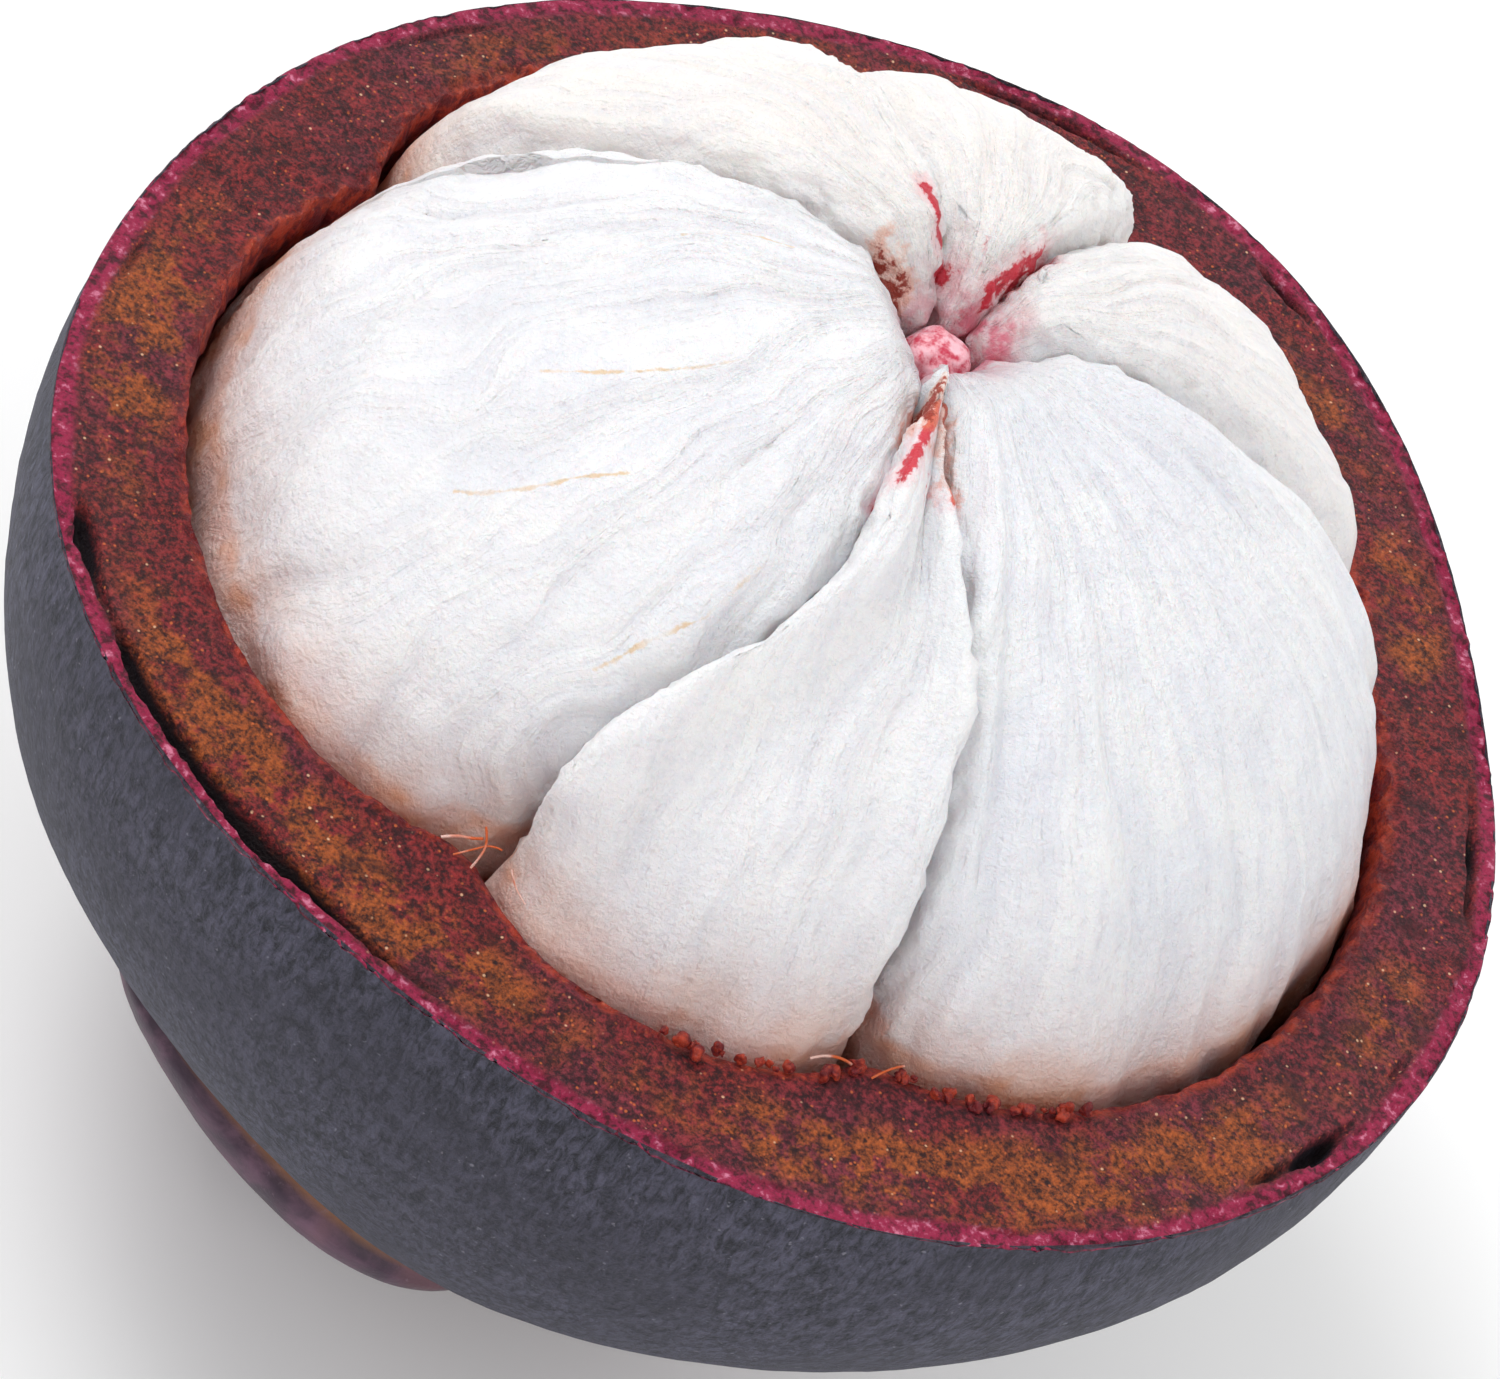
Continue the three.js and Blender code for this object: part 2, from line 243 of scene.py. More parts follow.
class Recipe:
    """Builds a material from named node steps."""

    def __init__(self, name):
        self.material = bpy.data.materials.new(name)
        self.material.use_nodes = True
        self.tree = self.material.node_tree
        self.shader = self.tree.nodes["Principled BSDF"]
        self.place = self.node("ShaderNodeTexCoord").outputs["Object"]

    def node(self, kind, **settings):
        made = self.tree.nodes.new(kind)
        for key, value in settings.items():
            setattr(made, key, value)
        return made

    def feed(self, socket, value):
        if isinstance(value, bpy.types.NodeSocket):
            self.tree.links.new(value, socket)
        else:
            socket.default_value = value

    def attribute(self, name, output="Fac"):
        return self.node("ShaderNodeAttribute", attribute_name=name).outputs[output]

    def math(self, operation, a, b=0.0, clamp=False):
        made = self.node("ShaderNodeMath", operation=operation, use_clamp=clamp)
        self.feed(made.inputs[0], a)
        self.feed(made.inputs[1], b)
        return made.outputs[0]

    def ramp(self, value, low, high, to_low=0.0, to_high=1.0):
        made = self.node("ShaderNodeMapRange", interpolation_type="SMOOTHSTEP")
        self.feed(made.inputs["Value"], value)
        self.feed(made.inputs["From Min"], low)
        self.feed(made.inputs["From Max"], high)
        self.feed(made.inputs["To Min"], to_low)
        self.feed(made.inputs["To Max"], to_high)
        return made.outputs["Result"]

    def length(self, vector):
        made = self.node("ShaderNodeVectorMath", operation="LENGTH")
        self.feed(made.inputs[0], vector)
        return made.outputs["Value"]

    def stretch(self, vector, scale):
        made = self.node("ShaderNodeMapping")
        self.feed(made.inputs["Vector"], vector)
        self.feed(made.inputs["Scale"], scale)
        return made.outputs["Vector"]

    def noise(self, scale, detail=3.0, roughness=0.55, vector=None, distortion=0.0):
        made = self.node("ShaderNodeTexNoise")
        self.feed(made.inputs["Vector"], self.place if vector is None else vector)
        self.feed(made.inputs["Scale"], scale)
        self.feed(made.inputs["Detail"], detail)
        self.feed(made.inputs["Roughness"], roughness)
        self.feed(made.inputs["Distortion"], distortion)
        return made.outputs["Fac"]

    def cells(self, scale):
        made = self.node("ShaderNodeTexVoronoi")
        self.feed(made.inputs["Vector"], self.place)
        self.feed(made.inputs["Scale"], scale)
        return made.outputs["Distance"]

    def weighed(self, *parts):
        """The sum of (share, value) parts."""
        total = None
        for share, value in parts:
            part = self.math("MULTIPLY", value, share)
            total = part if total is None else self.math("ADD", total, part)
        return total

    def mix(self, share, a, b):
        made = self.node("ShaderNodeMix", data_type="RGBA")
        self.feed(made.inputs[0], share)
        self.feed(made.inputs[6], a)
        self.feed(made.inputs[7], b)
        return made.outputs[2]

    def bump(self, height, strength, distance, normal=None):
        made = self.node("ShaderNodeBump")
        self.feed(made.inputs["Height"], height)
        self.feed(made.inputs["Strength"], strength)
        self.feed(made.inputs["Distance"], distance)
        if normal is not None:
            self.feed(made.inputs["Normal"], normal)
        return made.outputs["Normal"]

    def set(self, **sockets):
        for key, value in sockets.items():
            self.feed(self.shader.inputs[key.replace("_", " ")], value)


def colour(red, green, blue):
    """A colour as a paint chart gives it, 0 to 255, made linear."""
    def linear(level):
        level /= 255
        return level / 12.92 if level <= 0.04045 else ((level + 0.055) / 1.055) ** 2.4
    return (linear(red), linear(green), linear(blue), 1.0)


# ---------------------------------------------------------------- rind

RIND_STEPS = 640            # round the rim
SKIN_ROWS = 54              # from the stem end to the widest level
SHOULDER_ROWS = 5           # from there to the cut
SKIN_DEPTH = -0.3 * MM      # what marks the skin for the material
PINK_DEPTH = 0.8 * MM       # the layer under the skin
PINK_FADE = 0.2 * MM
CRACK_DEPTH = 1.12 * MM     # where the layer comes away from the flesh
CRACK_DROP = 1.3 * MM
RUST_DEPTH = 2.9 * MM       # the middle of the orange-brown band
RUST_SPREAD = 1.9 * MM
LIP_WIDTH = 0.7 * MM
LIP_RAISE = 0.45 * MM       # how far the lip's crumbs may stand over the cut
CUT_SINK = 0.05 * MM
SETBACK = 0.5 * MM          # of the cavity's wall behind the lip
WALL_CROWDING = 1.15        # rows of the wall lie closer near the lip
# Rows of the cut nearest the skin, in mm below it.
EDGE_DEPTHS = np.array(
    [0, 0.06, 0.14, 0.26, 0.38, 0.5, 0.62, 0.74, 0.86, 0.98, 1.1, 1.2, 1.3, 1.4, 1.52, 1.66, 1.82]
) * MM
FLESH_ROWS = 27
CUT_ROWS = len(EDGE_DEPTHS) + FLESH_ROWS
WALL_ROWS = 20
# Where the crack under the skin opens, in degrees round the axis: (middle,
# half width, how far it opens).
CRACKS = [(-127, 9, 1.0), (-114, 8, 1.2), (-102, 6, 0.8), (-140, 3, 0.9), (-22, 5, 0.9),
          (-10, 3, 0.5), (14, 6, 0.7), (94, 9, 0.8), (72, 4, 0.6), (150, 6, 0.4), (-168, 4, 0.5)]
# Where the flesh of the cut turns orange-brown: (middle, half width, strength).
RUSTS = [(-161, 15, 1.0), (-120, 15, 1.0), (-98, 12, 0.7), (-58, 20, 1.0), (-34, 14, 0.9),
         (-6, 9, 0.55), (38, 13, 0.7), (62, 8, 0.5), (116, 14, 0.6), (146, 12, 0.5)]


# The rim's waves: (times round, sine, cosine), as shares of the fruit's radius.
RIM_MEAN = 1.006
RIM_WAVES = [(2, 0.0102, -0.0095), (3, -0.0309, -0.0024), (4, -0.0067, 0.0027),
             (5, 0.0032, 0.0078)]


def rim_shape(turn):
    return RIM_MEAN + sum(sine * np.sin(times * turn) + cosine * np.cos(times * turn)
                          for times, sine, cosine in RIM_WAVES)


def lip_radius(turn):
    """Radius of the inner edge of the cut, read from the CAD rind."""
    points = node_points("rind") - [*AXIS, 0]
    radius = np.hypot(points[:, 0], points[:, 1])
    lip = (abs(points[:, 2] - CUT_HEIGHT) < 0.01 * MM) & (radius < 0.92 * FRUIT_RADIUS)
    angle = np.arctan2(points[lip, 1], points[lip, 0])
    order = np.argsort(angle)
    fine = np.linspace(-math.pi, math.pi, 721)[:-1]
    even = np.interp(fine, angle[order], radius[lip][order], period=2 * math.pi)
    window = np.hanning(15) / np.hanning(15).sum()
    even = np.convolve(np.r_[even[-7:], even, even[:7]], window, "valid")
    return np.interp(turn, fine, even, period=2 * math.pi)


def round_points(turn):
    """Points on a ring, so that noise along the rim closes on itself."""
    ring = FRUIT_RADIUS
    return np.stack([ring * np.cos(turn), ring * np.sin(turn), 0 * turn], axis=1)


def crack_opening(turn):
    degrees = turn / DEGREE
    opening = sum(share * bump_at(turn_between(degrees, middle), 0, half)
                  for middle, half, share in CRACKS)
    ragged = 0.8 + 0.5 * grain(round_points(turn), 1.6 * MM, 11)
    return np.clip(opening * ragged - 0.12, 0, 1.2)


def rust_share(turn):
    degrees = turn / DEGREE
    return np.clip(sum(share * bump_at(turn_between(degrees, middle), 0, half)
                       for middle, half, share in RUSTS), 0, 1)


def skin_place(turn, row, rim):
    """Radius and height on the skin, from the stem end to the widest level."""
    share = np.minimum(row / (SKIN_ROWS - 1), 1) * math.pi / 2
    off_side = turn_between(turn / DEGREE, FULL_SIDE) / FULL_SPREAD
    power = 2 / (BODY_POWER + FULLNESS * np.exp(-(off_side**2)))
    girth_height = CUT_HEIGHT - GIRTH_DROP
    drop = girth_height - STEM_END
    return (rim * GIRTH_SWELL * np.sin(share) ** power,
            girth_height - drop * abs(np.cos(share)) ** power)


def shoulder_place(row, rim):
    """Radius and height from the widest level up to the cut."""
    share = (row - SKIN_ROWS + 1) / SHOULDER_ROWS
    return (rim * (GIRTH_SWELL - (GIRTH_SWELL - 1) * share**2),
            CUT_HEIGHT - GIRTH_DROP + (GIRTH_DROP - 0.06 * MM) * share)


def cut_depth(row, wall):
    """How far in from the skin each row of the cut lies."""
    number = np.clip(row, 0, CUT_ROWS - 1)
    last = len(EDGE_DEPTHS) - 1
    inner = np.clip((number - last) / FLESH_ROWS, 0, 1)
    return np.where(number <= last, EDGE_DEPTHS[np.minimum(number, last)],
                    EDGE_DEPTHS[-1] + (wall - EDGE_DEPTHS[-1]) * inner)


def wall_place(row, lip):
    """Radius and height on the cavity's wall, from the lip down to its floor."""
    sunk = np.clip((row + 1) / WALL_ROWS, 0, 1)
    hollow = DOME_LEVEL - CAVITY_FLOOR
    start = math.asin((CUT_HEIGHT - SETBACK - DOME_LEVEL) / hollow)
    tilt = start - (start + math.pi / 2) * sunk**WALL_CROWDING
    widest = lip / math.cos(start) - SETBACK
    return widest * np.cos(tilt), DOME_LEVEL + hollow * np.sin(tilt)


def rind_piece():
    first_cut = SKIN_ROWS + SHOULDER_ROWS
    first_wall = first_cut + CUT_ROWS
    piece, turn, row = rolled_grid("rind_half", RIND_STEPS, first_wall + WALL_ROWS)
    rim = FRUIT_RADIUS * rim_shape(turn)
    lip = lip_radius(turn)
    wall = rim - lip
    skin = row < SKIN_ROWS
    shoulder = (row >= SKIN_ROWS) & (row < first_cut)
    cut = (row >= first_cut) & (row < first_wall)
    inside = row >= first_wall
    regions = [skin, shoulder, cut, inside]

    skin_radius, skin_height = skin_place(turn, row, rim)
    shoulder_radius, shoulder_height = shoulder_place(row, rim)
    wall_radius, wall_height = wall_place(row - first_wall, lip)
    across = cut_depth(row - first_cut, wall)
    radius = np.select(regions, [skin_radius, shoulder_radius, rim - across, wall_radius])
    height = np.select(regions, [skin_height, shoulder_height, 0 * turn, wall_height])
    depth = np.select([cut, inside], [across, wall + CUT_HEIGHT - wall_height], SKIN_DEPTH)

    # the crack and the magenta layer beside it
    flat = np.stack([radius * np.cos(turn), radius * np.sin(turn), height], axis=1)
    opening = crack_opening(turn)
    wander = 0.16 * MM * grain(round_points(turn), 3 * MM, 5)
    crack_width = 0.14 * MM + 0.34 * MM * opening
    gap = np.clip(1 - abs(depth - CRACK_DEPTH - wander) / crack_width, 0, 1)
    gap = np.where(cut, np.sqrt(gap) * np.minimum(opening * 1.6, 1), 0)
    past_pink = smoothstep(PINK_DEPTH - PINK_FADE, PINK_DEPTH + PINK_FADE, depth - wander)
    pink = np.where(cut, 1 - past_pink, 0)

    # the knife leaves a grained face, a torn layer at its edge and a ragged lip
    rough = grains(flat, (0.07, 0.55, 1), (0.05, 0.28, 2))
    torn = grains(flat, (0.16, 0.5, 3), (0.12, 0.25, 4))
    wave = grains(flat, (0.14, 7, 6), (0.06, 2.2, 7))
    crumbs = grains(flat, (0.5, 0.7, 8), (0.35, 0.35, 9))
    near_lip = np.where(cut, smoothstep(LIP_WIDTH, 0, wall - depth), 0)
    skin_edge = np.where(cut, smoothstep(0.1 * MM, 0, depth), 0)
    lift = (wave + np.where(pink > 0.5, torn - 0.05, rough)) * MM - gap * CRACK_DROP
    lift += near_lip * (crumbs * 0.55 - 0.16) * MM
    lift = np.minimum(lift, near_lip * LIP_RAISE) - CUT_SINK - skin_edge * CUT_SINK
    height = np.where(cut, CUT_HEIGHT + lift, height)
    below_lip = np.where(inside, smoothstep(6 * MM, 0, depth - wall), 0)
    radius = radius + np.where(cut, near_lip, below_lip) * crumbs * 0.42 * MM

    # low lumps in the skin
    lumps = (grains(flat, (0.10, 7, 21), (0.035, 1.3, 22), (0.02, 0.5, 23)) - 0.09) * MM
    radius = np.where(skin | shoulder, radius * (1 + lumps / FRUIT_RADIUS), radius)
    write_points(piece, np.stack([AXIS[0] + radius * np.cos(turn),
                                  AXIS[1] + radius * np.sin(turn), height], axis=1))
    paint(piece, "depth", depth / MM)
    paint(piece, "from_lip", (wall - depth) / MM)
    paint(piece, "pink", pink)
    # where the crack opens, which the material darkens as painted shade
    paint(piece, "gap", gap)
    paint(piece, "rust", rust_share(turn) * bump_at(depth, RUST_DEPTH, RUST_SPREAD))
    closed(piece)
    return piece


# Torn threads in the notches on both sides of the front aril, as lines through
# (radius in mm, degrees round the axis, height over the cut in mm).
THREADS = [
    [(23.9, -104, 0.0), (23.4, -103, 0.4), (22.9, -102, 0.8), (22.7, -101, 0.7)],
    [(23.8, -102, 0.0), (23.3, -102, 0.5), (23.0, -102.5, 0.9), (22.8, -103.5, 1.2)],
    [(23.7, -106, 0.0), (23.3, -105, 0.3), (23.1, -104, 0.4), (22.9, -103, 0.7)],
    [(23.2, -99, 0.8), (23.4, -98, 0.5), (23.5, -97, 0.3), (23.6, -96, 0.2)],
    [(24.2, -60, 0.0), (23.9, -58.5, 0.5), (23.7, -57, 0.4)],
    [(23.9, -66, 0.0), (23.6, -64, 0.4), (23.8, -62, 0.1)],
]


def axis_place(radius, degrees, height):
    angle = degrees * DEGREE
    return (AXIS[0] + radius * math.cos(angle), AXIS[1] + radius * math.sin(angle), height)


def joined(piece, parts):
    only(piece)
    for part in parts:
        part.select_set(True)
    bpy.ops.object.join()
    return piece


def with_threads(piece):
    """Adds the torn threads to the rind, as thin tubes."""
    threads = []
    for number, line in enumerate(THREADS):
        curve = bpy.data.curves.new("thread", "CURVE")
        curve.dimensions = "3D"
        curve.bevel_depth = (0.04 + 0.01 * (number % 3)) * MM
        curve.bevel_resolution = 2
        curve.resolution_u = 6
        curve.use_fill_caps = True
        spline = curve.splines.new("NURBS")
        spline.points.add(len(line) - 1)
        spline.use_endpoint_u = True
        spline.order_u = 3
        for point, (radius, degrees, rise) in zip(spline.points, line):
            point.co = (*axis_place(radius * MM, degrees, CUT_HEIGHT + rise * MM), 1)
        thread = bpy.data.objects.new("thread", curve)
        bpy.context.scene.collection.objects.link(thread)
        only(thread)
        bpy.ops.object.convert(target="MESH")
        thread = bpy.context.object
        paint(thread, "thread", np.ones(len(thread.data.vertices)))
        threads.append(thread)
    paint(piece, "thread", np.zeros(len(piece.data.vertices)))
    return joined(piece, threads)


CRUMBS = 46
CRUMB_STRETCH = (-80, -36)     # of the lip, in degrees round the axis
CRUMB_SIZES = (0.10, 0.30)     # mm


def with_crumbs(piece):
    """Adds crumbs of torn flesh to the rind, along its lip: one ball, copied
    and made lumpy each in its own way."""
    chance = np.random.default_rng(17)
    bpy.ops.object.select_all(action="DESELECT")
    bpy.ops.mesh.primitive_ico_sphere_add(subdivisions=3, radius=1)
    ball = bpy.context.object
    crumbs = []
    for number in range(CRUMBS):
        degrees = chance.uniform(*CRUMB_STRETCH)
        size = chance.uniform(*CRUMB_SIZES) * MM
        lip = lip_radius(np.array([degrees * DEGREE]))[0]
        radius = lip + chance.uniform(-0.1, 0.9) * size * 2.2
        points = read_points(ball) * size
        lumps = 1 + 0.55 * grain(points, size * 0.8, 100 + number)
        points *= lumps[:, None] * chance.uniform(0.7, 1.3, 3)
        points += axis_place(radius, degrees, CUT_HEIGHT + 0.35 * size)
        crumb = bpy.data.objects.new("crumb", ball.data.copy())
        bpy.context.scene.collection.objects.link(crumb)
        write_points(crumb, points)
        crumbs.append(crumb)
    bpy.data.objects.remove(ball)
    return joined(piece, crumbs)


def rind_material():
    m = Recipe("mangosteen_rind")
    depth = m.attribute("depth")
    pink = m.attribute("pink")
    gap = m.attribute("gap")
    from_lip = m.attribute("from_lip")
    on_cut = m.ramp(depth, -0.12, -0.02)

    # skin: dark violet-grey, with fine pale felted streaks
    place = m.stretch(m.place, (1, 1, 0.34))
    felt = m.weighed((0.75, m.noise(3200, 6, 0.78, vector=place, distortion=0.5)),
                     (0.25, m.noise(900, 5, 0.7)))
    clouds = m.noise(120, 3, 0.5)
    skin = m.mix(m.ramp(felt, 0.38, 0.64), colour(16, 16, 25), colour(80, 78, 96))
    skin = m.mix(m.ramp(clouds, 0.35, 0.7, 0, 0.5), skin, colour(44, 42, 54))
    flecks = m.ramp(m.noise(3200, 2, 0.5), 0.68, 0.78)
    skin = m.mix(m.math("MULTIPLY", flecks, 0.5), skin, colour(140, 138, 150))

    # flesh: maroon grains, rust-coloured where it has dried, pale dots of painted highlight
    tone = m.weighed((0.6, m.noise(5200, 3, 0.75)), (0.4, m.noise(2300, 3, 0.6)))
    soft = m.noise(620, 4, 0.62)
    broad = m.noise(160, 3, 0.5)
    maroon = m.mix(m.ramp(tone, 0.4, 0.66), colour(44, 3, 7), colour(150, 42, 42))
    violet = m.mix(m.ramp(tone, 0.4, 0.66), colour(44, 5, 15), colour(136, 46, 60))
    maroon = m.mix(m.ramp(broad, 0.38, 0.66), maroon, violet)
    rusty = m.mix(m.ramp(tone, 0.36, 0.66), colour(44, 9, 3), colour(178, 88, 34))
    patchy = m.ramp(m.noise(420, 5, 0.7), 0.36, 0.6)
    rust = m.math("MULTIPLY", m.attribute("rust"), patchy, clamp=True)
    flesh = m.mix(m.ramp(rust, 0.08, 0.6), maroon, rusty)
    flesh = m.mix(m.ramp(soft, 0.54, 0.7, 0, 0.65), flesh, colour(44, 6, 8))

    def dots(spacing, widest, narrowest, where):
        """Round dots, kept only where the patches of noise `where` are."""
        return m.math("MULTIPLY", m.ramp(m.cells(spacing), widest, narrowest), where)

    pits = dots(900, 0.2, 0.06, m.ramp(m.noise(500, 2, 0.5), 0.5, 0.6))
    flesh = m.mix(pits, flesh, colour(34, 3, 6))
    specks = dots(2300, 0.2, 0.08, m.ramp(m.noise(700, 2, 0.5), 0.44, 0.56))
    flesh = m.mix(m.math("MULTIPLY", specks, 0.75), flesh, colour(204, 104, 52))
    # painted highlights: pale dots for light glinting on the wet grains, which are also made
    # shinier
    painted_glints = dots(1500, 0.13, 0.05, m.ramp(m.noise(900, 1, 0.5), 0.46, 0.54))
    flesh = m.mix(m.math("MULTIPLY", painted_glints, 0.7), flesh, colour(238, 190, 150))

    # the lip and the wall of the cavity: red to orange, and wet
    lip = m.ramp(from_lip, 0.7, 0.0)
    wet_red = m.ramp(m.noise(1300, 4, 0.65), 0.4, 0.62)
    wet_red = m.mix(wet_red, colour(104, 14, 20), colour(184, 64, 34))
    flesh = m.mix(m.math("MULTIPLY", lip, 0.75), flesh, wet_red)

    # the threads: orange to pale pink
    strand = m.ramp(m.noise(800, 2, 0.5), 0.4, 0.6)
    strand = m.mix(strand, colour(212, 98, 48), colour(240, 196, 184))
    flesh = m.mix(m.attribute("thread"), flesh, strand)

    # the magenta layer under the skin, torn and crumbly
    crumbs = m.noise(2100, 4, 0.65)
    layer = m.mix(m.ramp(crumbs, 0.36, 0.54), colour(70, 3, 24), colour(150, 24, 66))
    layer = m.mix(m.ramp(crumbs, 0.56, 0.70), layer, colour(208, 120, 148))
    flesh = m.mix(pink, flesh, layer)
    # painted shade: the open crack is painted near-black
    flesh = m.mix(m.ramp(gap, 0.05, 0.55), flesh, colour(16, 2, 5))

    base = m.mix(on_cut, skin, flesh)
    wet = m.math("MULTIPLY", on_cut, m.math("MAXIMUM", painted_glints, lip))
    m.set(
        Base_Color=base,
        Roughness=m.math("SUBTRACT", 0.62, m.math("MULTIPLY", wet, 0.32)),
        Subsurface_Weight=0.06,
        Subsurface_Radius=(1.0, 0.3, 0.2),
        Subsurface_Scale=0.0008,
        Sheen_Weight=0.06,
        Sheen_Roughness=0.5,
        Sheen_Tint=colour(190, 195, 225),
        Specular_IOR_Level=0.3,
    )
    skin_height = m.weighed((0.7, felt), (0.3, m.noise(3500, 3, 0.6)))
    flesh_height = m.weighed((0.7, tone), (0.5, crumbs))
    height = m.node("ShaderNodeMix", data_type="FLOAT")
    m.feed(height.inputs[0], on_cut)
    m.feed(height.inputs[2], skin_height)
    m.feed(height.inputs[3], flesh_height)
    m.set(Normal=m.bump(height.outputs[0], 1.0, 0.24 * MM))
    return m.material


# ---------------------------------------------------------------- arils

ARIL_LOOKS = {
    # name: (ridges, waviness, creaminess)
    "aril_left": (1.0, 1.0, 0.15),
    "aril_front": (0.7, 0.5, 0.2),
    "aril_right": (1.2, 0.35, 0.0),
    "aril_right_back": (0.8, 0.6, 0.55),
    "aril_back": (0.7, 0.6, 0.7),
    "aril_left_back": (0.7, 0.6, 0.7),
}
# The grooves on both sides of each aril, in degrees round the pole.
ARIL_SPANS = {
    "aril_front": (-100, -60),
    "aril_right": (-60, 28),
    "aril_right_back": (28, 80),
    "aril_back": (80, 130),
    "aril_left_back": (130, 174),
    "aril_left": (174, 260),
}
FRONT_FROM, FRONT_TO = ARIL_SPANS["aril_front"]
FRONT_MIDDLE = (FRONT_FROM + FRONT_TO) / 2
# How far those two grooves turn at the pole, and between which reaches the
# turn fades out, in mm.
LEFT_BEND = (17, 12, 25)
RIGHT_BEND = (-20, 2, 18)
BEND_SPREAD = 70    # degrees of the neighbour that turn with the groove
# How far each aril rises beside its two grooves: (height, width), in mm.
GROOVE_FILLS = {
    "aril_front": ((3.2, 2.8), (2.0, 1.7)),
    "aril_right": ((1.5, 1.5), (0.3, 1.5)),
    "aril_right_back": ((0.3, 1.5), (0.6, 1.5)),
    "aril_back": ((0.5, 1.5), (0.5, 1.5)),
    "aril_left_back": ((0.5, 1.5), (0.3, 1.2)),
    "aril_left": ((0.2, 1.2), (0.6, 1.3)),
}
# Stains on the arils, each a set of lines through (distance from the pole in
# mm, degrees round it).
STAINS = {
    "crimson": [
        [(2.6, 84), (4.4, 80), (6.6, 76)],
        [(2.7, 121), (3.5, 136), (5.3, 141)],
        [(6.4, -81), (8.4, -81.5), (10.8, -82.5)],
        [(9.6, -71), (10.2, -70)],
    ],
    "brown": [
        [(4.3, 173.5), (2.6, 171)],
        [(5.0, -83), (6.6, -83), (7.8, -83)],
        [(5.9, -77), (8.1, -73.5), (9.9, -70)],
    ],
    "vein": [
        [(21.1, -126), (20.0, -123.5), (18.8, -121), (16.4, -116)],
        [(17.5, -135), (15.4, -131), (12.9, -127), (10.7, -125)],
        [(11.6, -158), (9.0, -163), (7.2, -160)],
        [(20.5, -102), (17.6, -96), (15.0, -94)],
    ],
}


PLUMPNESS = 0.22 * MM     # over the CAD aril
TORN_WIDTH = 1.2 * MM     # beside a groove
# the band beside the rind is partly the flesh's own pink and partly painted glow
BLUSH_AND_GLOW_WIDTH = 2.1 * MM    # beside the rind
SPONGE_PLACE = (1.2, 50)  # middle of the pink patch: mm from the pole, degrees
SPONGE_WIDTH = 1.9 * MM


def pole_place(reach, degrees):
    angle = degrees * DEGREE
    return POLE + reach * MM * np.array([math.cos(angle), math.sin(angle)])


def round_pole(points):
    """Degrees round the pole and level distance from it."""
    across = points[:, :2] - POLE
    return (np.arctan2(across[:, 1], across[:, 0]) / DEGREE,
            np.hypot(across[:, 0], across[:, 1]))


def beside_lines(points, lines):
    """Where each point lies by the nearest line, in mm: how far to one side
    of it, how far past its end, and how far off when that is over a
    millimetre. The first passes through nought on the line, so the line stays
    sharp between the corners of the mesh."""
    nearest = np.full(len(points), 4 * MM)
    beside = np.full((len(points), 3), 4.0)
    for line in lines:
        places = [pole_place(*step) for step in line]
        for start, end in zip(places, places[1:]):
            length = np.hypot(*(end - start))
            way = (end - start) / length
            step = points[:, :2] - start
            run = step @ way
            past = run - np.clip(run, 0, length)
            side = step[:, 0] * way[1] - step[:, 1] * way[0]
            distance = np.hypot(side, past)
            closer = distance < nearest
            nearest[closer] = distance[closer]
            far = np.maximum(distance - MM, 0)
            beside[closer] = np.stack([side, past, far], 1)[closer] / MM
    return beside


def groove_shift(degrees, reach):
    """How far the grooves beside the front aril bend round the pole: the large
    arils close in over its narrow tip."""
    left, right = (most * (1 - smoothstep(near * MM, far * MM, reach))
                   for most, near, far in (LEFT_BEND, RIGHT_BEND))
    inside = np.clip((degrees - FRONT_FROM) / (FRONT_TO - FRONT_FROM), 0, 1)
    before = smoothstep(FRONT_FROM - BEND_SPREAD, FRONT_FROM, degrees)
    after = smoothstep(FRONT_TO + BEND_SPREAD, FRONT_TO, degrees)
    return np.select([degrees < FRONT_FROM, degrees > FRONT_TO],
                     [left * before, right * after], left + (right - left) * inside)


def groove_distances(points, node):
    """Level distance from each point to the two grooves beside an aril."""
    degrees, reach = round_pole(points)
    return [abs(turn_between(degrees, edge)) * DEGREE * reach for edge in ARIL_SPANS[node]]


def filled_grooves(points, node):
    """Raises the aril beside its grooves, so that neighbours meet in a soft
    valley and not in a cleft."""
    fill = np.zeros(len(points))
    for (height, width), near in zip(GROOVE_FILLS[node], groove_distances(points, node)):
        fill = np.maximum(fill, height * MM * np.exp(-((near / (width * MM)) ** 2)))
    # less at the pole, and none inside the cavity
    fill *= np.clip(0.15 + round_pole(points)[1] / (14 * MM), 0, 1)
    fill *= smoothstep(CUT_HEIGHT, CUT_HEIGHT + 6 * MM, points[:, 2])
    outwards = points - np.array([*POLE, DOME_LEVEL])
    outwards /= np.maximum(np.linalg.norm(outwards, axis=1), MM)[:, None]
    return points + outwards * fill[:, None]


def bent_at_grooves(points):
    degrees, reach = round_pole(points)
    degrees = turn_between(degrees, FRONT_MIDDLE) + FRONT_MIDDLE
    turned = (degrees + groove_shift(degrees, reach)) * DEGREE
    bent = points.copy()
    bent[:, 0] = POLE[0] + reach * np.cos(turned)
    bent[:, 1] = POLE[1] + reach * np.sin(turned)
    return bent


def ribbed(across, tilt, width, length, seed):
    """Noise in ribs that run from the pole to the rind, `width` degrees wide."""
    return grain(np.stack([across / width, tilt / length, 0 * tilt], 1), 1, seed)


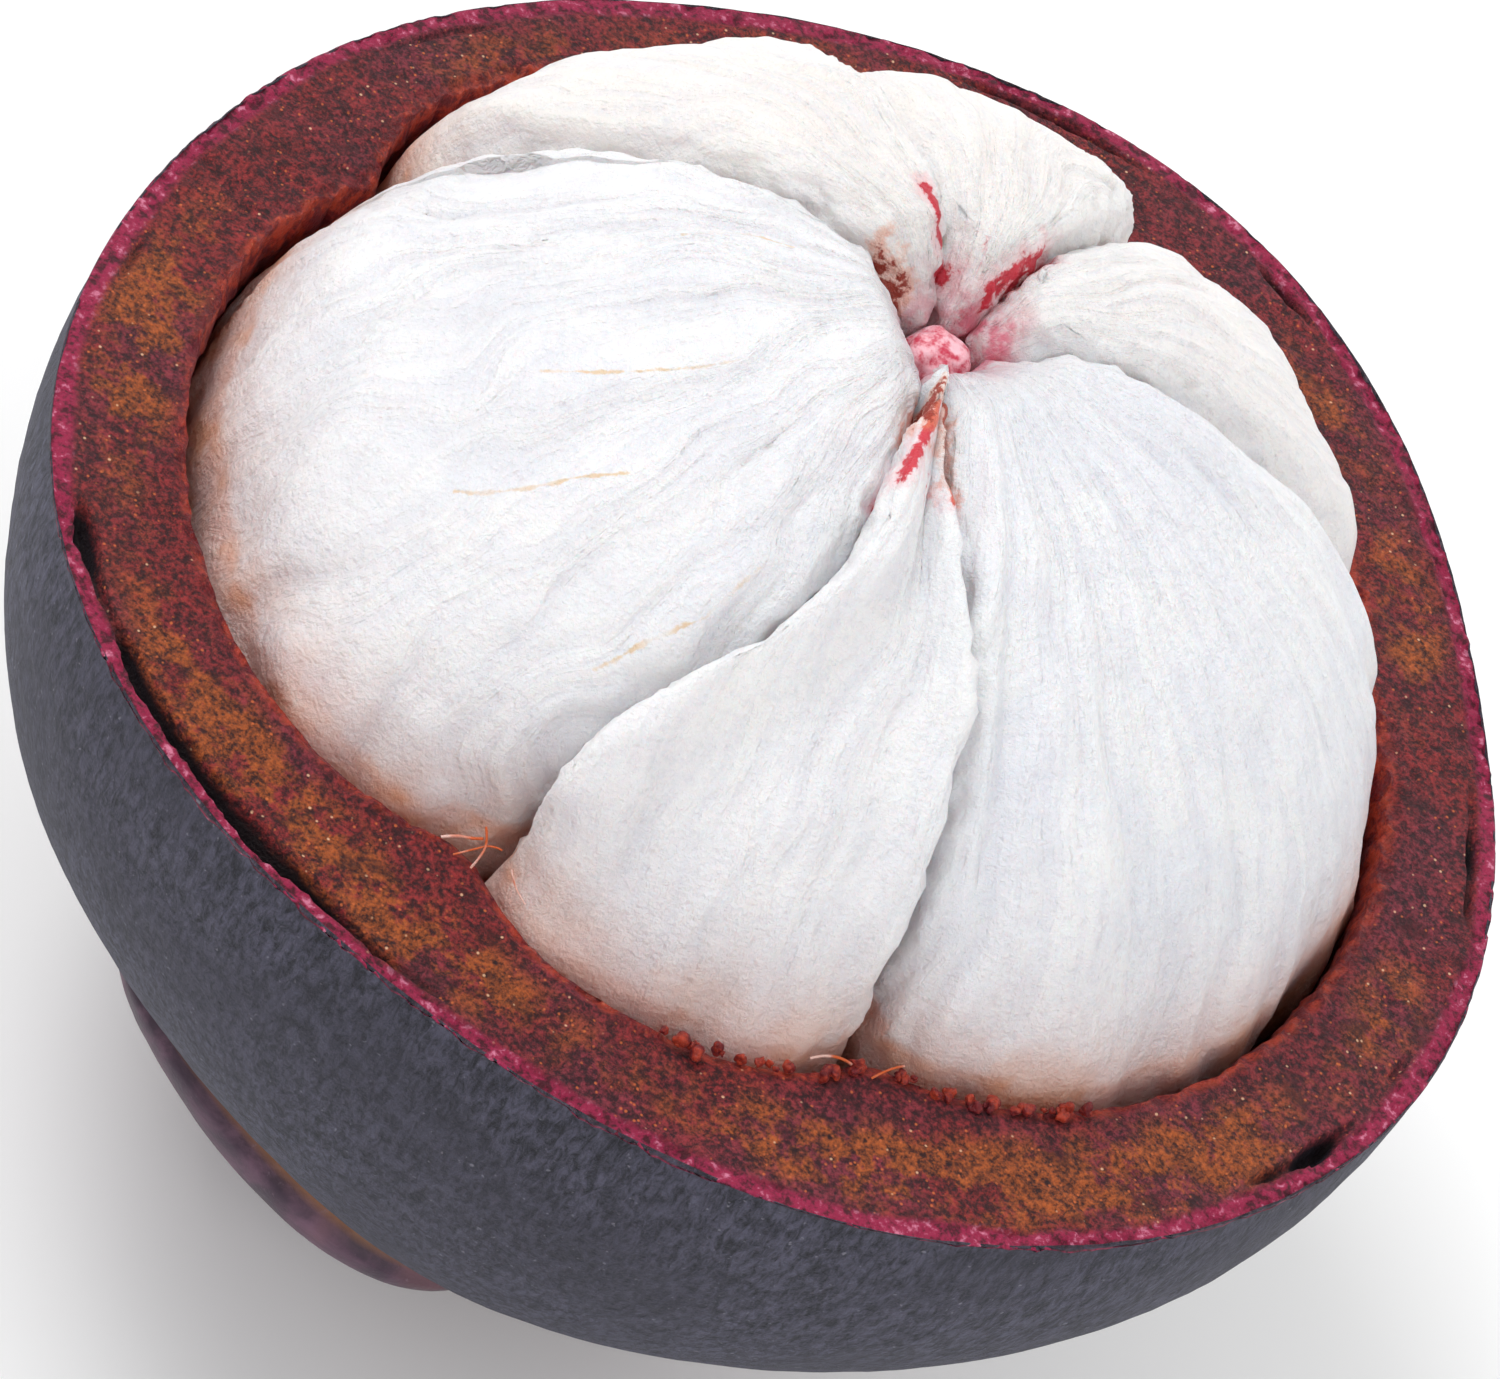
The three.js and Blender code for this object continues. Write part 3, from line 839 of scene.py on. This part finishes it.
def aril_piece(node):
    ridges, waviness, creaminess = ARIL_LOOKS[node]
    piece = grown_from(node)
    subdivided(piece, 3)
    points = read_points(piece)
    points += read_normals(piece) * PLUMPNESS
    points = filled_grooves(points, node)
    torn = bump_at(np.min(groove_distances(points, node), axis=0), 0, TORN_WIDTH)
    points = bent_at_grooves(points)
    write_points(piece, points)
    normals = read_normals(piece)

    # wavy ribs from the pole down, then lumps, then the torn edges
    degrees, reach = round_pole(points)
    tilt = np.arctan2(points[:, 2] - DOME_LEVEL, reach) / DEGREE
    seed = 31 + list(ARIL_LOOKS).index(node)
    wander = 6 * waviness * ribbed(degrees, tilt, 14, 12, seed)
    wander += 2.4 * waviness * ribbed(degrees, tilt, 5, 6, seed + 10)
    across = degrees + wander
    ribs = (0.34 * ribbed(across, tilt, 8.5, 30, seed + 90)
            + 0.34 * ribbed(across, tilt, 4.2, 34, seed + 20)
            + 0.17 * ribbed(across, tilt, 1.7, 14, seed + 30))
    shape = ribs * ridges * smoothstep(3 * MM, 13 * MM, reach)
    shape += grains(points, (0.16, 6, seed + 40), (0.09, 1.7, seed + 50), (0.05, 0.7, seed + 60))
    shape += torn * grains(points, (0.22, 0.8, seed + 70), (0.16, 0.4, seed + 80))
    points = points + normals * (shape * MM)[:, None]
    write_points(piece, points)

    # what the material reads
    from_axis = points[:, :2] - AXIS
    turn = np.arctan2(from_axis[:, 1], from_axis[:, 0])
    over_cut = points[:, 2] - CUT_HEIGHT
    off_lip = np.hypot(lip_radius(turn) - np.hypot(*from_axis.T), np.maximum(over_cut, 0))
    # warm: the flesh's own pink beside the lip with painted glow from the red rind; below the cut
    # all of it, as painted shade and glow
    warm = np.where(over_cut < 0, 1, np.exp(-((off_lip / BLUSH_AND_GLOW_WIDTH) ** 1.3)))
    off_sponge = np.hypot(*(points[:, :2] - pole_place(*SPONGE_PLACE)).T)
    paint(piece, "warm", warm)
    paint(piece, "cream", np.full(len(points), creaminess))
    paint(piece, "torn", torn)
    paint(piece, "sponge", bump_at(off_sponge, 0, SPONGE_WIDTH))
    for stain, lines in STAINS.items():
        paint_vector(piece, stain, beside_lines(points, lines))
    paint_vector(piece, "fibre", np.stack([across, tilt, reach / MM], 1))
    finished(piece, node, ARIL_MATERIAL)


def aril_material():
    m = Recipe("mangosteen_aril")
    fibre = m.attribute("fibre", "Vector")
    warm = m.attribute("warm")
    cream = m.attribute("cream")
    from_pole = m.node("ShaderNodeSeparateXYZ")
    m.feed(from_pole.inputs[0], fibre)
    from_pole = from_pole.outputs[2]
    strands = m.noise(1.0, 3, 0.5, vector=m.stretch(fibre, (0.55, 0.07, 0)))
    threads = m.noise(1.0, 3, 0.6, vector=m.stretch(fibre, (1.5, 0.12, 0)))
    clouds = m.noise(190, 4, 0.55)
    frost = m.noise(2300, 4, 0.7)
    grain_and_sparkle = m.noise(5200, 2, 0.6)

    # white flesh, with painted shade between the strands, and creamier at the back
    white = m.mix(m.ramp(clouds, 0.3, 0.7), colour(237, 238, 244), colour(249, 249, 252))
    white = m.mix(cream, white, colour(248, 240, 232))
    # painted shade: greyer in the hollows between the strands
    white = m.mix(m.ramp(strands, 0.36, 0.6, 0.32, 0), white, colour(220, 221, 231))
    white = m.mix(m.ramp(threads, 0.6, 0.78, 0, 0.12), white, colour(245, 234, 218))
    white = m.mix(m.math("MULTIPLY", m.attribute("torn"), 0.35), white, colour(255, 252, 252))
    # painted highlight: pure white specks for light sparkling on the wet flesh; the same noise is
    # also a fine bump
    white = m.mix(m.ramp(grain_and_sparkle, 0.6, 0.75, 0, 0.5), white, colour(255, 255, 255))
    white = m.mix(m.ramp(frost, 0.32, 0.5, 0.35, 0), white, colour(222, 222, 230))

    # pink beside the rind: partly the flesh's own blush and partly painted glow from the red
    # rind, and below the cut painted shade and glow over the whole aril; pink round the pole
    blush_and_glow = m.ramp(m.noise(260, 3, 0.6), 0.4, 0.65)
    blush_and_glow = m.mix(blush_and_glow, colour(238, 200, 190), colour(232, 172, 142))
    share = m.math("MULTIPLY", warm, m.ramp(m.noise(330, 3, 0.5), 0.2, 0.6, 0.5, 1.0))
    base = m.mix(share, white, blush_and_glow)
    pole_pink = m.math("MAXIMUM", m.ramp(from_pole, 3.4, 1.2, 0, 0.7),
                       m.ramp(m.attribute("sponge"), 0.15, 0.75))
    dotted = m.ramp(m.noise(900, 4, 0.65), 0.32, 0.58, 0.15, 0.95)
    base = m.mix(m.math("MULTIPLY", pole_pink, dotted), base, colour(228, 118, 140))

    # stains: thin veins, brown and crimson smears beside the pole
    ragged = m.math("SUBTRACT", m.noise(1500, 4, 0.65), 0.5)

    def smear(base, name, width, soft, raggedness, strength, stain):
        """Lays a stain over the base, this many mm to each side of its lines."""
        off = m.math("MULTIPLY", ragged, raggedness)
        off = m.math("ADD", m.length(m.attribute(name, "Vector")), off)
        return m.mix(m.math("MULTIPLY", m.ramp(off, width + soft, width), strength), base, stain)

    patchy = m.ramp(m.noise(420, 2, 0.5), 0.34, 0.6, 0.08, 0.65)
    base = smear(base, "vein", 0.0, 0.11, 0.5, patchy, colour(228, 186, 116))
    base = smear(base, "crimson", 0.2, 0.6, 1.6, 0.35, colour(240, 140, 155))
    base = smear(base, "crimson", 0.13, 0.14, 1.0, 0.95, colour(204, 6, 46))
    base = smear(base, "brown", 0.2, 0.45, 1.6, 0.5, colour(230, 140, 92))
    base = smear(base, "brown", 0.08, 0.16, 1.3, 0.95, colour(150, 38, 10))
    m.set(
        Base_Color=base,
        Roughness=m.ramp(frost, 0.35, 0.65, 0.36, 0.58),
        Subsurface_Weight=0.5,
        Subsurface_Radius=(1.0, 0.65, 0.55),
        Subsurface_Scale=0.002,
        Specular_IOR_Level=0.5,
        Coat_Weight=0.06,
        Coat_Roughness=0.25,
    )
    relief = m.bump(m.math("ADD", strands, m.math("MULTIPLY", threads, 0.2)), 0.7, 0.5 * MM)
    height = m.weighed((0.6, frost), (0.35, grain_and_sparkle), (0.9, m.noise(900, 5, 0.72)))
    m.set(Normal=m.bump(height, 0.9, 0.34 * MM, normal=relief))
    return m.material


# ---------------------------------------------------------------- core, calyx

def core_piece():
    piece = grown_from("core")
    subdivided(piece, 5)
    points = read_points(piece)
    normals = read_normals(piece)
    top = smoothstep(CUT_HEIGHT + 8 * MM, CUT_HEIGHT + 11 * MM, points[:, 2])
    sponge = grains(points, (0.16, 0.5, 71), (0.1, 0.25, 72))
    points += normals * ((sponge * 0.8 + 0.5 * top) * MM)[:, None]
    points[:, 2] += 0.25 * MM * top
    write_points(piece, points)
    finished(piece, "core", core_material())


def core_material():
    m = Recipe("mangosteen_core")
    sponge = m.noise(1700, 5, 0.65)
    base = m.mix(m.ramp(sponge, 0.35, 0.6), colour(204, 44, 78), colour(250, 196, 206))
    m.set(
        Base_Color=base,
        Roughness=0.5,
        Subsurface_Weight=0.3,
        Subsurface_Radius=(1.0, 0.4, 0.35),
        Subsurface_Scale=0.001,
        Normal=m.bump(sponge, 0.8, 0.15 * MM),
    )
    return m.material


# How far the inner face of each sepal's outer part thickens towards the rind,
# in mm, and the seed of its lumps.
SEPALS = {
    "sepal_front": (0.75, 89),
    "sepal_right": (0.1, 95),
    "sepal_back": (0.75, 90),
    "sepal_left": (0.1, 82),
}


def sepal_piece(node):
    closing, seed = SEPALS[node]
    piece = grown_from(node)
    subdivided(piece, 3)
    points = read_points(piece)
    normals = read_normals(piece)
    low, high = (np.array(corner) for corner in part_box(node))
    lumps = grains(points, (0.06, 4, seed), (0.025, 0.9, seed + 1))
    up = smoothstep(low[2] + 0.5 * MM, high[2], points[:, 2])
    points += normals * (lumps * MM * (0.3 + 0.7 * up))[:, None]
    points[:, 2] = np.maximum(points[:, 2], low[2])
    write_points(piece, points)
    from_middle = points - np.array([*AXIS, CUT_HEIGHT - GIRTH_DROP])
    from_middle /= np.linalg.norm(from_middle, axis=1)[:, None]
    facing = (read_normals(piece) * from_middle).sum(axis=1)
    reach = np.hypot(*(points[:, :2] - AXIS).T)
    outer = smoothstep(11 * MM, 16 * MM, reach)
    inner_face = smoothstep(0.5, -0.5, facing)
    points -= from_middle * (inner_face * outer * closing * MM)[:, None]
    write_points(piece, points)
    paint(piece, "margin", bump_at(facing, -0.35, 0.22) * outer)
    # the faces turned towards the fruit, which the material darkens as painted shade
    paint(piece, "inside", smoothstep(0.1, -0.5, facing))
    finished(piece, node, SEPAL_MATERIAL)


def sepal_material():
    m = Recipe("mangosteen_sepal")
    leather = m.noise(300, 5, 0.62, distortion=0.5)
    fine = m.noise(2400, 4, 0.6)
    base = m.mix(m.ramp(leather, 0.36, 0.66), colour(58, 40, 56), colour(108, 78, 96))
    warm = m.ramp(m.noise(150, 3, 0.5), 0.48, 0.66, 0, 0.6)
    base = m.mix(warm, base, colour(122, 82, 80))
    # painted shade: darker on the inner face, which looks into the narrow space against the rind
    base = m.mix(m.math("MULTIPLY", m.attribute("inside"), 0.6), base, colour(70, 48, 44))
    base = m.mix(m.math("MULTIPLY", m.attribute("margin"), 0.75), base, colour(158, 108, 74))
    base = m.mix(m.ramp(fine, 0.62, 0.76, 0, 0.45), base, colour(142, 120, 132))
    m.set(
        Base_Color=base,
        Roughness=m.ramp(leather, 0.3, 0.7, 0.42, 0.6),
        Specular_IOR_Level=0.35,
        Normal=m.bump(m.math("ADD", leather, m.math("MULTIPLY", fine, 0.4)), 0.6, 0.18 * MM),
    )
    return m.material


def stem_piece():
    piece = grown_from("stem")
    subdivided(piece, 4)
    points = read_points(piece)
    across = points[:, :2] - AXIS
    reach = np.hypot(*across.T)
    turn = np.arctan2(across[:, 1], across[:, 0])
    bark = 0.10 * grain(np.stack([turn * 5, points[:, 2] / (2 * MM), 0 * turn], 1), 1, 91)
    side = smoothstep(2.6 * MM, 3.3 * MM, reach)
    scale = 1 + side * (bark - 0.05) * MM / np.maximum(reach, MM)
    points[:, :2] = AXIS + across * scale[:, None]
    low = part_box("stem")[0][2]
    pith = smoothstep(1.1 * MM, 0.5 * MM, reach) * (points[:, 2] < low + 0.4 * MM)
    points[:, 2] += pith * 0.35 * MM
    write_points(piece, points)
    finished(piece, "stem", stem_material())


def stem_material():
    m = Recipe("mangosteen_stem")
    bark = m.noise(260, 5, 0.6, vector=m.stretch(m.place, (1, 1, 0.25)))
    base = m.mix(m.ramp(bark, 0.35, 0.65), colour(58, 46, 42), colour(112, 92, 78))
    m.set(Base_Color=base, Roughness=0.8, Normal=m.bump(bark, 0.7, 0.2 * MM))
    return m.material


# ---------------------------------------------------------------- setting

def floor_and_light():
    bpy.ops.object.select_all(action="DESELECT")
    bpy.ops.mesh.primitive_plane_add(size=6, location=(0, 0, -0.02 * MM))
    floor = bpy.context.object
    floor.name = "floor"
    paper = Recipe("pale_floor")
    tone = paper.mix(paper.noise(3, 2, 0.5), colour(250, 250, 250), colour(253, 253, 253))
    paper.set(Base_Color=tone, Roughness=0.9, Specular_IOR_Level=0.1)
    floor.data.materials.append(paper.material)

    bpy.context.scene.view_settings.view_transform = "Standard"
    world = bpy.data.worlds.new("soft_room")
    world.use_nodes = True
    background = world.node_tree.nodes["Background"]
    background.inputs["Color"].default_value = (1, 1, 1, 1)
    background.inputs["Strength"].default_value = 0.78
    bpy.context.scene.world = world
    lamp("key_light", (-0.5, 0.15, 0.75), size=0.35, power=3.5)
    lamp("fill_light", (0.5, -0.7, 0.5), size=0.7, power=1.6)
    lamp("back_light", (0.2, 0.8, 0.5), size=0.5, power=1.0)


def lamp(name, place, size, power):
    light = bpy.data.lights.new(name, "AREA")
    light.size = size
    light.energy = power
    made = bpy.data.objects.new(name, light)
    made.location = place
    aim = Vector((0, 0, CUT_HEIGHT)) - made.location
    made.rotation_euler = aim.to_track_quat("-Z", "Y").to_euler()
    bpy.context.scene.collection.objects.link(made)


CAMERA_TILT = 43.9      # degrees from straight down
CAMERA_TURN = 33.5      # degrees, which makes the fruit lean to the right
CAMERA_PLACE = (-0.092, -0.146, 9.0)   # from the rim's middle, in fruit radii


def camera():
    """Looks down on the cut, turned about its own axis."""
    view = bpy.data.cameras.new("camera")
    view.lens = 167.4
    view.sensor_width = 36
    view.clip_start = 0.01
    turn = (Matrix.Rotation(CAMERA_TILT * DEGREE, 4, "X")
            @ Matrix.Rotation(CAMERA_TURN * DEGREE, 4, "Z"))
    rim_middle = Vector((*AXIS, CUT_HEIGHT))
    offset = Vector(CAMERA_PLACE) * FRUIT_RADIUS
    made = bpy.data.objects.new("camera", view)
    made.matrix_world = Matrix.Translation(rim_middle + turn.to_3x3() @ offset) @ turn
    bpy.context.scene.collection.objects.link(made)
    bpy.context.scene.camera = made


# ---------------------------------------------------------------- the fruit

ARIL_MATERIAL = aril_material()
SEPAL_MATERIAL = sepal_material()

finished(with_crumbs(with_threads(rind_piece())), "rind", rind_material())
for aril in ARIL_LOOKS:
    aril_piece(aril)
core_piece()
for sepal in SEPALS:
    sepal_piece(sepal)
stem_piece()
floor_and_light()
camera()
